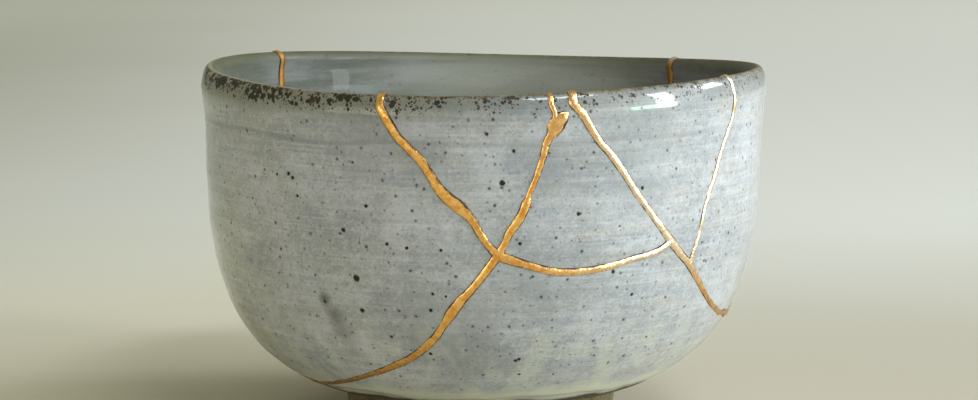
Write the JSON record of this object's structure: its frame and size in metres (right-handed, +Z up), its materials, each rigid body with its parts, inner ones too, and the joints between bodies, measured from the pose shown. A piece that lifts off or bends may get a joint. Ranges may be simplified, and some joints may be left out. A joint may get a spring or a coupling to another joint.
{
  "type": "kintsugi bowl",
  "caption": "Hand-thrown stoneware tea bowl with a trimmed foot ring, broken into sherds and joined again with gold seams.",
  "frame": {"origin": "middle of the bowl's outline seen from above, on the plane that the foot ring stands on", "axes": "+Z up out of the mouth, and -Y towards the front, where the cracks meet"},
  "size_m": [0.1194, 0.1202, 0.075],
  "materials": {
    "glazed_stoneware": "gloss",
    "gold_seam": "satin"
  },
  "bodies": {
    "root": {"left_sherd": "glazed_stoneware", "front_left_sherd": "glazed_stoneware", "front_middle_sherd": "glazed_stoneware", "front_right_sherd": "glazed_stoneware", "right_sherd": "glazed_stoneware", "back_sherd": "glazed_stoneware", "base_sherd_with_foot": "glazed_stoneware", "gold_seams": "gold_seam"}
  },
  "joints": []
}
